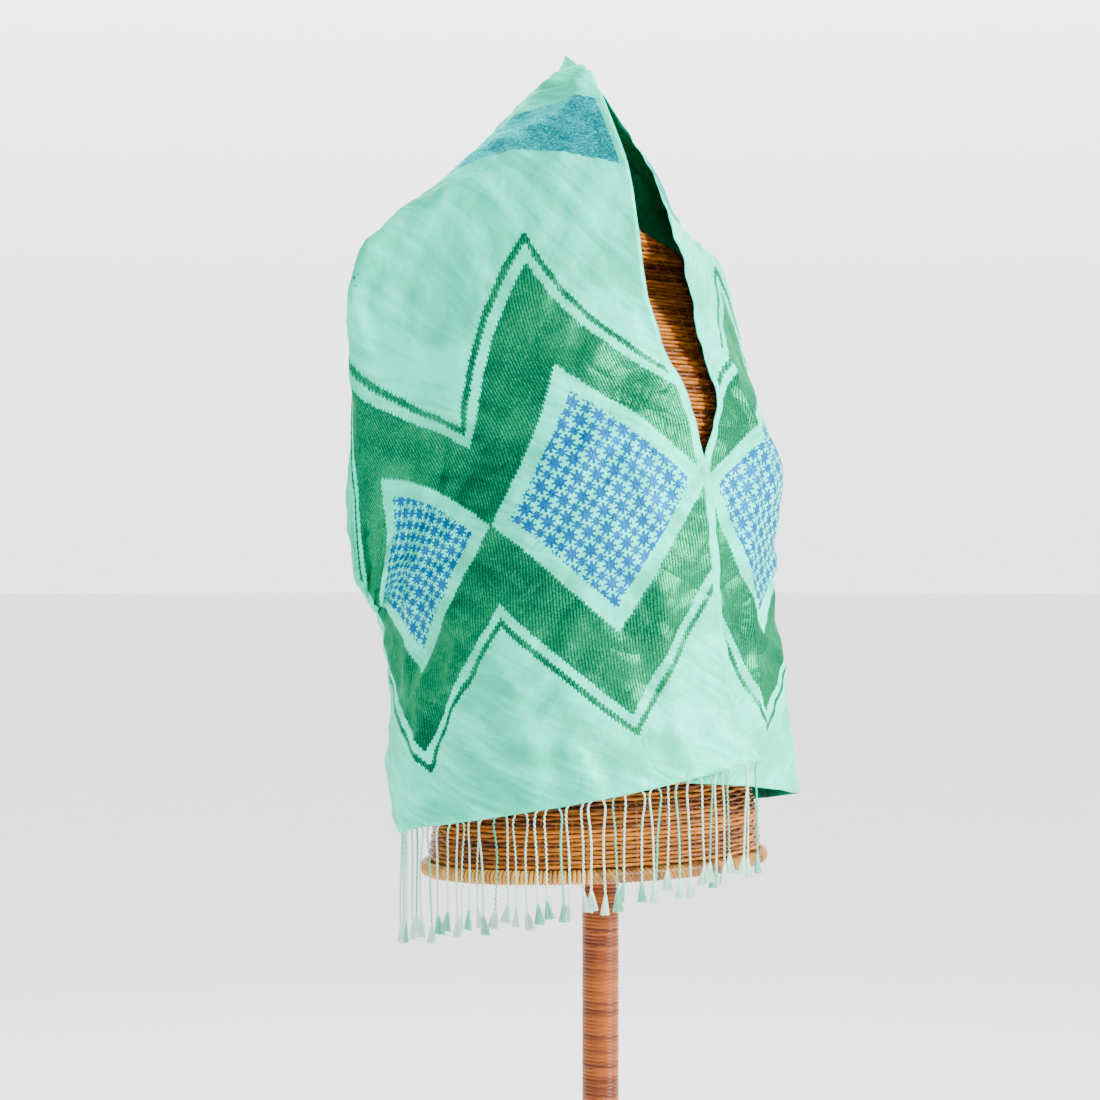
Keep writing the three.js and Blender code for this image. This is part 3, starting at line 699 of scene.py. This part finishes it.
def board(t):
    """Varnished wood with its grain along X."""
    place = t.node("ShaderNodeTexCoord").outputs["Object"]
    x, y, z = t.split(place)
    bent = t.xyz(t.math("MULTIPLY", x, 4), t.math("MULTIPLY", y, 60), t.math("MULTIPLY", z, 60))
    grain = t.noise(bent, 1.0, 4.0, 0.6)
    fine = t.noise(bent, 7.0, 2.0, 0.5)
    colour = t.mix(t.smooth(grain, 0.3, 0.7), WOOD_DEEP, WOOD_LIT)
    colour = t.mix(t.math("MULTIPLY", fine, 0.35), colour, WOOD_DARK)
    return {"Base Color": colour, "Roughness": t.smooth(fine, 0.3, 0.7, 0.28, 0.42),
            "Normal": t.bump(fine, 0.0003, 0.4)}


# the two mints are mixed by the painted sheen patches
MINT_PALE, MINT_DEEP, SELVEDGE = srgb(2, 242, 204), srgb(0, 208, 168), srgb(40, 238, 206)
# the bright figure colours are reached through painted glints and painted highlight patches
GREEN_BRIGHT, GREEN_DEEP, GREEN_DARK = srgb(0, 172, 112), srgb(0, 88, 62), srgb(0, 22, 18)
BLUE_BRIGHT, BLUE_DEEP, STAR_GROUND = srgb(0, 108, 162), srgb(0, 74, 130), srgb(2, 230, 210)
BAND_BRIGHT, BAND_DEEP = srgb(0, 222, 210), srgb(0, 128, 146)
# reverse: a green darkened as painted shade of the folds; the lit and hem colours are painted light
REVERSE_LIT, REVERSE_SHADED, REVERSE_HEM_LIT = srgb(0, 128, 80), srgb(0, 108, 68), srgb(0, 160, 126)
THREAD_PALE, THREAD_TEAL = srgb(222, 255, 238), srgb(0, 190, 152)
WOOD_LIT, WOOD_DEEP, WOOD_DARK = srgb(140, 86, 46), srgb(84, 48, 24), srgb(60, 32, 16)
# deep, lit and pale colours of each cane
WOVEN_CANE = srgb(78, 34, 6), srgb(176, 102, 18), srgb(222, 156, 56)
# the core's colours are dark as painted shade, the darkness seen between the canes
SHADE_CORE_CANE = srgb(38, 20, 10), srgb(58, 32, 16), srgb(70, 40, 20)
RIM_CANE = srgb(96, 50, 12), srgb(206, 146, 52), srgb(240, 196, 104)
POLE_CANE = srgb(70, 22, 2), srgb(144, 70, 6), srgb(190, 112, 22)
# how often a cane's grain changes in a metre along X, Y and Z
ALONG_ROWS, ALONG_SHADE_CORE, ALONG_WRAPS = (60, 60, 900), (60, 60, 400), (300, 300, 90)

cloth_outside = material(
    "shawl_face", outside, Sheen_Weight=0.02, Sheen_Roughness=0.4, Sheen_Tint=srgb(40, 255, 225),
    Specular_IOR_Level=0.08, Specular_Tint=srgb(0, 240, 200))
cloth_inside = material("shawl_reverse", inside, Roughness=0.6, Specular_IOR_Level=0.05)
fringe_thread = material("fringe_thread", threads, Roughness=0.6, Specular_IOR_Level=0.1)
cane_woven = material("woven_cane", cane(*WOVEN_CANE, ALONG_ROWS), Specular_IOR_Level=0.3)
# painted shade: the dark core inside the weave
cane_shade_core = material("painted_shade_core", cane(*SHADE_CORE_CANE, ALONG_SHADE_CORE))
cane_rim = material("rim_cane", cane(*RIM_CANE, ALONG_WRAPS), Specular_IOR_Level=0.3)
cane_pole = material("pole_cane", cane(*POLE_CANE, ALONG_ROWS), Specular_IOR_Level=0.25)
wood = material("base_wood", board)


# ---- the shawl -------------------------------------------------------------------
def shawl():
    """The cloth as one thin closed shell: both faces of the draped grid and its four edges."""
    along = np.linspace(-HALF_LENGTH, HALF_LENGTH, 371)
    across = np.linspace(0, SHAWL_WIDTH, 101)
    middle, out = cloth_at(along, across)
    front, behind = middle + out * CLOTH / 2, middle - out * CLOTH / 2
    points = np.concatenate([front.reshape(-1, 3), behind.reshape(-1, 3)])
    a, c = np.meshgrid(along, across, indexing="ij")
    uv = np.tile(np.stack([a, c], axis=-1).reshape(-1, 2) * MM, (2, 1))
    rows, columns = len(along), len(across)
    face = grid_quads(rows, columns)
    back = face[:, ::-1] + rows * columns
    loop = np.concatenate([
        np.arange(rows) * columns,
        (rows - 1) * columns + np.arange(1, columns),
        np.arange(rows - 2, -1, -1) * columns + columns - 1,
        np.arange(columns - 2, 0, -1),
    ])
    after = np.roll(loop, -1)
    edge = np.stack([after, loop, loop + rows * columns, after + rows * columns], axis=-1)
    slots = np.repeat([0, 1, 0], [len(face), len(back), len(edge)])
    return add_mesh("shawl_cloth", points, np.concatenate([face, back, edge]),
                    [cloth_outside, cloth_inside], slots=slots, uv=uv)


def fringe():
    """Twisted strands of the right hem: two plies round each centre line, and a bell of threads.

    A centre line starts at the hem and hangs down. At the distance s it has a
    kink as (s / 9 mm) * exp(1 - s / 9 mm), a second one as (s / 24 mm)^2 *
    exp(2 - s / 12 mm), and a slow sway. A ply is the centre line plus
    PLY_OFFSET in a direction that turns once each TWIST. The bell's threads
    spread evenly over an oval that grows towards its flat-cut end.
    """
    rng = np.random.default_rng(21)
    stations, sides = 170, 4

    def each(values):
        return np.asarray(values)[:, None]

    # where the strands leave the hem
    share = (np.arange(STRANDS) + 0.5) / STRANDS
    spread = SHAWL_WIDTH * (share + 0.028 * np.sin(math.pi * share) ** 2 * share - 0.03 * (1 - share) * share)
    spread = np.sort(np.clip(spread + rng.normal(0, 1.6, STRANDS), 1.5, SHAWL_WIDTH - 1.5))
    root, out = cloth_at(np.array([-HALF_LENGTH]), spread)
    root, out = root[0], unit(out[0] * [1, 1, 0])
    hem = unit(np.gradient(root, axis=0) * [1, 1, 0])

    # how each hangs
    uneven = np.sin(np.arange(STRANDS) * 1.7) * 4 + rng.normal(0, 1.5, STRANDS)
    length = STRAND_LENGTH + uneven - TUFT_LENGTH - FRINGE_SHORTER
    s = np.linspace(0, 1, stations)[None] * each(length)
    way = rng.choice([-1, 1], STRANDS) * rng.uniform(0.8, 3.6, STRANDS)
    kink = each(way) * (s / 9) * np.exp(1 - s / 9)
    second = each(rng.normal(0, 0.9, STRANDS)) * (s / 24) ** 2 * np.exp(2 - s / 12)
    sway = each(rng.normal(0, 2.0, STRANDS)) * (s / 90) ** 1.4
    swing = each(rng.normal(0, 0.5, STRANDS))
    sway = sway + swing * np.sin(s / 24 + each(rng.uniform(0, 6, STRANDS))) * np.minimum(s / 20, 1)
    lift = each(rng.normal(0, 0.7, STRANDS)) * np.sin(s / 30)
    centre = (root[:, None] - np.array([0, 0, 1.0]) * (s[..., None] - 0.8)
              + hem[:, None] * (kink + second + sway)[..., None] + out[:, None] * lift[..., None])
    ease = np.clip(s / 10, 0, 1)[..., None]
    centre = centre * (1 - ease) + clear_of_hips(centre, HIP_GAP + 1.5, 1.5) * ease
    chance = rng.random(STRANDS) < 0.8
    pale = np.where(chance, rng.uniform(0.8, 1, STRANDS), rng.uniform(0.15, 0.4, STRANDS))

    # the two plies
    parts = []
    for ply in (0, 1):
        angle = s * 2 * math.pi / TWIST + ply * math.pi + each(rng.uniform(0, 6, STRANDS))
        turn = np.cos(angle)[..., None] * hem[:, None] + np.sin(angle)[..., None] * out[:, None]
        radius = np.full(s.shape, PLY_RADIUS)
        radius[:, [0, -1]] = 0.1
        p, q = tubes(centre + PLY_OFFSET * turn, radius, sides, out[:, None] + 0.01)
        parts.append((p, q, np.repeat(np.clip(pale - 0.28 * ply, 0, 1), stations * sides)))

    # the bells of threads
    count, steps = 34, 6
    end = centre[:, -1]
    down = unit(np.array([0, 0, -1.0]) + 0.12 * rng.normal(0, 1, (STRANDS, 1)) * hem)
    angle = np.arange(count) * 2.4 + each(rng.uniform(0, 6, STRANDS))
    reach = np.sqrt((np.arange(count) + 0.5) / count) * each(rng.uniform(3.9, 5.5, STRANDS))
    f = np.linspace(0, 1, steps)
    width = reach[..., None] * (0.14 + 0.86 * f**0.85)
    drop = (TUFT_LENGTH + rng.normal(0, 0.35, (STRANDS, count)))[..., None] * f - 1.0
    wide = (np.cos(angle)[..., None, None] * hem[:, None, None]
            + 0.55 * np.sin(angle)[..., None, None] * out[:, None, None])
    path = end[:, None, None] + down[:, None, None] * drop[..., None] + wide * width[..., None]
    radius = np.broadcast_to(0.34 + 0.22 * f, (STRANDS, count, steps))
    reference = np.repeat(out, count, axis=0)[:, None] + 0.01
    p, q = tubes(path.reshape(-1, steps, 3), radius.reshape(-1, steps), 3, reference)
    white = np.where(rng.random(STRANDS) < 0.6, 1.0, 0.3)
    shade = np.clip(each(white) + rng.normal(0, 0.1, (STRANDS, count)), 0, 1)
    parts.append((p, q, np.repeat(shade.ravel(), steps * 3)))

    # the knots above the bells
    knot = end[:, None] + down[:, None] * np.array([-1.2, 0.0, 1.3, 2.4])[None, :, None]
    p, q = tubes(knot, np.tile([0.3, 1.3, 1.3, 0.5], (STRANDS, 1)), 8, out[:, None] + 0.01)
    parts.append((p, q, np.repeat(white, 4 * 8)))
    points, quads, tone = joined(parts)
    return add_mesh("fringe_strands", points, quads, [fringe_thread], tone=tone)


# ---- the form ----------------------------------------------------------------------
def form_point(turn, z, inset):
    """Point of the form at a share of a turn and a height, moved in by inset (mm)."""
    half, middle, depth, square, lean = form_ring(z)
    angle = 2 * math.pi * turn
    bend = 2 / square
    x = np.sign(np.cos(angle)) * np.abs(np.cos(angle)) ** bend
    y = np.sign(np.sin(angle)) * np.abs(np.sin(angle)) ** bend
    return np.stack([lean + (half - inset) * x, middle + (depth - inset) * y, z + 0 * x], axis=-1)


def weave(z_from, z_to, per_stake, seed):
    """Rows of cane over and under the stakes, with per_stake stations from one to the next.

    A row's inset is ROW_INSET less ROW_SWING * cos(pi * (stake number + row)),
    so it passes outside one stake and inside the next; each row wanders a
    little in height. Only the outer side of the cane is made.
    """
    rng = np.random.default_rng(seed)
    rows, sides = int(round((z_to - z_from) / ROW_PITCH)), 5
    row, per_row = np.arange(rows)[:, None], (rows, 1)
    turn = np.arange(STAKES * per_stake + 1) / (STAKES * per_stake)
    wander = rng.normal(0, 0.25, per_row)
    waves = rng.integers(1, 4, per_row)
    shift = rng.uniform(0, 6, per_row)
    z = z_from + (row + 0.5) * ROW_PITCH + wander * np.sin(2 * math.pi * turn * waves + shift)
    path = form_point(turn[None], z, ROW_INSET - ROW_SWING * np.cos(math.pi * (turn * STAKES + row)))
    outward = unit((path - form_point(turn[None], z, DEEP_INSET)) * [1, 1, 0])
    radius = ROW_RADIUS * (1 + 0.05 * np.sin(turn * 2 * math.pi * 11 + rng.uniform(0, 6, per_row)))
    p, q = tubes(path, radius, sides, outward, arc=math.pi * 1.15)
    tone = rng.normal(0.55, 0.22, per_row)
    tone = np.clip(tone + 0.15 * np.sin(turn * 20 + rng.uniform(0, 6, per_row)), 0, 1)
    return p, q, np.repeat(tone.ravel(), sides)


def upright_stakes(z_from, z_to, seed):
    """Upright canes that the rows pass over and under."""
    rng = np.random.default_rng(seed)
    stations, sides = 70, 5
    turn, z = np.meshgrid(np.arange(STAKES) / STAKES, np.linspace(z_from, z_to, stations), indexing="ij")
    path = form_point(turn, z, STAKE_INSET)
    outward = unit((path - form_point(turn, z, DEEP_INSET)) * [1, 1, 0])
    p, q = tubes(path, np.full(z.shape, STAKE_RADIUS), sides, outward, arc=math.pi * 1.2)
    return p, q, np.repeat(rng.uniform(0.3, 0.9, STAKES), stations * sides)


def woven_length(name, z_from, z_to, per_stake, seed):
    """One length of the woven form: its rows and its stakes."""
    parts = [weave(z_from, z_to, per_stake, seed), upright_stakes(z_from, z_to, seed + 20)]
    points, quads, tone = joined(parts)
    return add_mesh(name, points, quads, [cane_woven], tone=tone)


def shade_core_piece():
    """Dark sheet of painted shade behind the weave, the darkness seen between its canes: the form
    moved in by the core's inset, closed to a point at the top.
    """
    rows, columns = 90, 73
    turn = np.arange(columns) / (columns - 1)
    z, turn = np.meshgrid(np.linspace(WEAVE_FOOT, FORM_TOP, rows), turn, indexing="ij")
    core = form_point(turn, z, SHADE_CORE_INSET)
    cap = np.repeat(core[-1:].mean(axis=1, keepdims=True), columns, axis=1)
    points = np.concatenate([core, cap]).reshape(-1, 3)
    quads = grid_quads(rows + 1, columns)[:, ::-1]
    return add_mesh("cane_form_shade_core", points, quads, [cane_shade_core], tone=np.full(len(points), 0.5))


def neck_piece():
    """Coiled neck: rings of cane, one above the other."""
    rng = np.random.default_rng(9)
    stations, sides = 65, 6
    turn = np.arange(stations) / (stations - 1)
    z, turn = np.meshgrid(np.arange(NECK, FORM_TOP, NECK_PITCH), turn, indexing="ij")
    path = form_point(turn, z, NECK_RADIUS)
    outward = unit((path - NECK_AXIS) * [1, 1, 0])
    p, q = tubes(path, np.full(z.shape, NECK_RADIUS), sides, outward, arc=math.pi * 1.2)
    tone = np.repeat(rng.uniform(0.3, 0.9, len(z)), stations * sides)
    return add_mesh("cane_neck", p, q, [cane_woven], tone=tone)


def form_pieces():
    """Woven form in three lengths, a dark sheet of painted shade behind the weave, and the coiled neck."""
    return [
        woven_length("cane_form_hips", WEAVE_FOOT, WAIST_LOW, 4, 5),
        woven_length("cane_form_waist", WAIST_LOW, CHEST_LOW, 3, 6),
        woven_length("cane_form_chest", CHEST_LOW, NECK, 3, 7),
        shade_core_piece(),
        neck_piece(),
    ]


def rim_piece():
    """Wrapped band: an oval section round the form's foot, swelling once for each turn of cane."""
    rng = np.random.default_rng(12)
    per_wrap, sides = 8, 14
    half_width, half_height, bulge = 4.2, 4.9, 1.5
    n = RIM_WRAPS * per_wrap
    turn = np.arange(n) / n
    section = np.arange(sides) / sides * 2 * math.pi
    # the wraps stand upright from the back over the right side to the front, and lean elsewhere
    upright = (turn > 0.30) & (turn < 0.66)
    lean = np.where(upright, 0.0, 0.9)[:, None]
    count = turn[:, None] * RIM_WRAPS + lean * np.sin(section)[None]
    swell = np.abs(np.sin(math.pi * count)) ** 0.5
    offset = RIM_OUT - RIM_WALL / 2 + 0.9 + (half_width + bulge * swell) * np.cos(section)
    ring = form_point(turn[:, None] + 0 * offset, np.full(offset.shape, FORM_BOTTOM), -offset)
    ring[..., 2] = FORM_BOTTOM + 6.6 + (half_height + bulge * swell) * np.sin(section)
    wrap = np.clip(rng.normal(0.5, 0.16, RIM_WRAPS + 2), 0, 1)[np.floor(count).astype(int) % RIM_WRAPS]
    # painted shade: the tone darkens in the grooves between the wraps
    groove = 0.15 + 0.85 * np.clip(swell * 1.5 - 0.4, 0, 1)
    tone = np.clip(wrap + np.where(upright, 0.35, -0.12)[:, None], 0, 1) * groove
    quads = grid_quads(n, sides, True, True)
    return add_mesh("rim_wrapped", ring.reshape(-1, 3), quads, [cane_rim], tone=tone.ravel())


def pole_piece():
    """Cane wound round the pole along a shallow helix: the radius grows out of a groove as
    |sin(pi * coil)|^0.6, where coil counts the turns of cane."""
    rng = np.random.default_rng(14)
    groove, per_pitch, sides = 0.75, 6, 40
    z = np.arange(COLLAR_TOP + 0.5, FORM_BOTTOM + 1.5, POLE_PITCH / per_pitch)
    angle = np.arange(sides) / sides * 2 * math.pi
    coil = z[:, None] / POLE_PITCH + angle[None] / (2 * math.pi)
    radius = POLE_RADIUS - groove + groove * np.abs(np.sin(math.pi * coil)) ** 0.6
    points = np.stack([radius * np.cos(angle), radius * np.sin(angle), z[:, None] + 0 * radius], axis=-1)
    tones = rng.uniform(0.25, 0.9, 400)
    tone = tones[np.floor(coil).astype(int) % len(tones)]
    quads = grid_quads(len(z), sides, wrap_columns=True)[:, ::-1]
    return add_mesh("pole_wrapped", points.reshape(-1, 3), quads, [cane_pole], tone=tone.ravel())


def base_piece():
    """Turned base: a profile of radius and height, smooth through its rows, spun round the axis."""
    edge, collar, top, collar_top = BASE_RADIUS, COLLAR_RADIUS, BASE_HEIGHT, COLLAR_TOP
    profile = np.array([
        [0.5, 0], [100, 0], [edge - 3, 0], [edge - 0.6, 1.2], [edge, 4], [edge, 12],
        [edge - 1, 18], [edge - 4.5, 22.4], [edge - 10, top], [90, top + 0.8],
        [collar + 8, top + 2], [collar + 1.5, top + 5], [collar, top + 9],
        [collar - 2.5, collar_top - 8], [collar - 4, collar_top - 2], [collar - 6, collar_top],
        [POLE_RADIUS - 1, collar_top],
    ], float)
    rows = np.column_stack([np.arange(len(profile)), profile])
    stations, sides = 120, 128
    radius, z = through(rows, np.linspace(0, len(profile) - 1, stations)).T[..., None]
    z = np.maximum(z, 0)
    angle = np.arange(sides) / sides * 2 * math.pi
    points = np.stack([radius * np.cos(angle), radius * np.sin(angle), z + 0 * angle], axis=-1)
    quads = grid_quads(stations, sides, wrap_columns=True)[:, ::-1]
    return add_mesh("base_turned", points.reshape(-1, 3), quads, [wood])


cloth = shawl()
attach(cloth, "root")
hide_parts("shawl_right_front", "shawl_back", "shawl_left_front")
strands = fringe()
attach(strands, "root")
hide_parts("fringe_right")
form = form_pieces()
for piece in form:
    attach(piece, "root")
    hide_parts("torso")
for piece, node, slot in ((rim_piece(), "rim", "rim_cane"), (pole_piece(), "pole", "pole_cane"),
                          (base_piece(), "base", "base_wood")):
    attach(piece, "root")
    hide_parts(node)
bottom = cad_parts["bottom_board"]
bottom.data.materials.clear()
bottom.data.materials.append(wood)


# ---- camera, light and floor ----------------------------------------------------------
camera = bpy.data.objects.new("camera", bpy.data.cameras.new("camera"))
bpy.context.scene.collection.objects.link(camera)
camera.location = (-1.5777, -1.8096, 0.990)
camera.rotation_euler = (math.radians(90), 0, math.radians(-40))
camera.data.sensor_width = 36
camera.data.lens = 87.27
bpy.context.scene.camera = camera


def area_light(name, place, aim, size, power, colour=(1, 1, 1)):
    """Square area light, turned towards aim."""
    lamp = bpy.data.lights.new(name, "AREA")
    lamp.size, lamp.energy, lamp.color = size, power, colour
    made = bpy.data.objects.new(name, lamp)
    made.location = place
    direction = np.array(aim) - np.array(place)
    yaw = math.atan2(direction[1], direction[0]) - math.pi / 2
    pitch = math.atan2(direction[2], math.hypot(direction[0], direction[1]))
    made.rotation_euler = (math.pi / 2 + pitch, 0, yaw)
    bpy.context.scene.collection.objects.link(made)


area_light("key", (1.5, -2.9, 2.3), (0, 0, 1.0), size=1.0, power=380, colour=(1.0, 0.99, 0.97))
area_light("front", (-2.4, -2.6, 1.9), (0, 0, 1.0), size=1.6, power=36)
area_light("fill", (-3.4, 0.2, 1.5), (0, 0, 1.0), size=2.0, power=18, colour=(0.97, 0.99, 1.0))
area_light("back", (1.6, 2.8, 2.4), (0, 0, 1.1), size=2.0, power=60)

# the sky glows towards one side, dims near the ground and is even overhead
BRIGHT_SIDE = (0.62, 0.74, 0.26)
world = bpy.data.worlds.new("studio")
world.use_nodes = True
sky = Tree(world.node_tree)
way = sky.node("ShaderNodeTexCoord").outputs["Generated"]
facing = sky.node("ShaderNodeVectorMath", {0: way, 1: BRIGHT_SIDE}, operation="DOT_PRODUCT")
glow = sky.smooth(facing.outputs["Value"], 0.1, 0.85, 0.26, 4.9)
rise = sky.split(way)[2]
near_ground = sky.smooth(rise, 0.0, 0.3, 0.62, 1.0)
overhead = sky.smooth(rise, 0.35, 0.8, 0.0, 1.0)
background = world.node_tree.nodes["Background"].inputs
sky.feed(background["Strength"], sky.math("MULTIPLY_ADD", glow, near_ground, overhead))
background["Color"].default_value = (0.97, 0.97, 0.98, 1)
bpy.context.scene.world = world


def pale_floor(t):
    place = t.node("ShaderNodeTexCoord").outputs["Object"]
    return {"Base Color": t.mix(t.noise(place, 3.0), (0.92, 0.92, 0.92, 1), (0.95, 0.95, 0.95, 1))}


# the floor lies 0.5 mm below the base, which hides its inner edge
turn = np.arange(96) / 96 * 2 * math.pi
rings = [np.stack([r * np.cos(turn), r * np.sin(turn), -0.5 + 0 * turn], axis=-1) for r in (10, 60000)]
floor = add_mesh("floor", np.concatenate(rings), grid_quads(2, 96, wrap_columns=True)[:, ::-1],
                 [material("floor_pale", pale_floor, Roughness=0.9)])
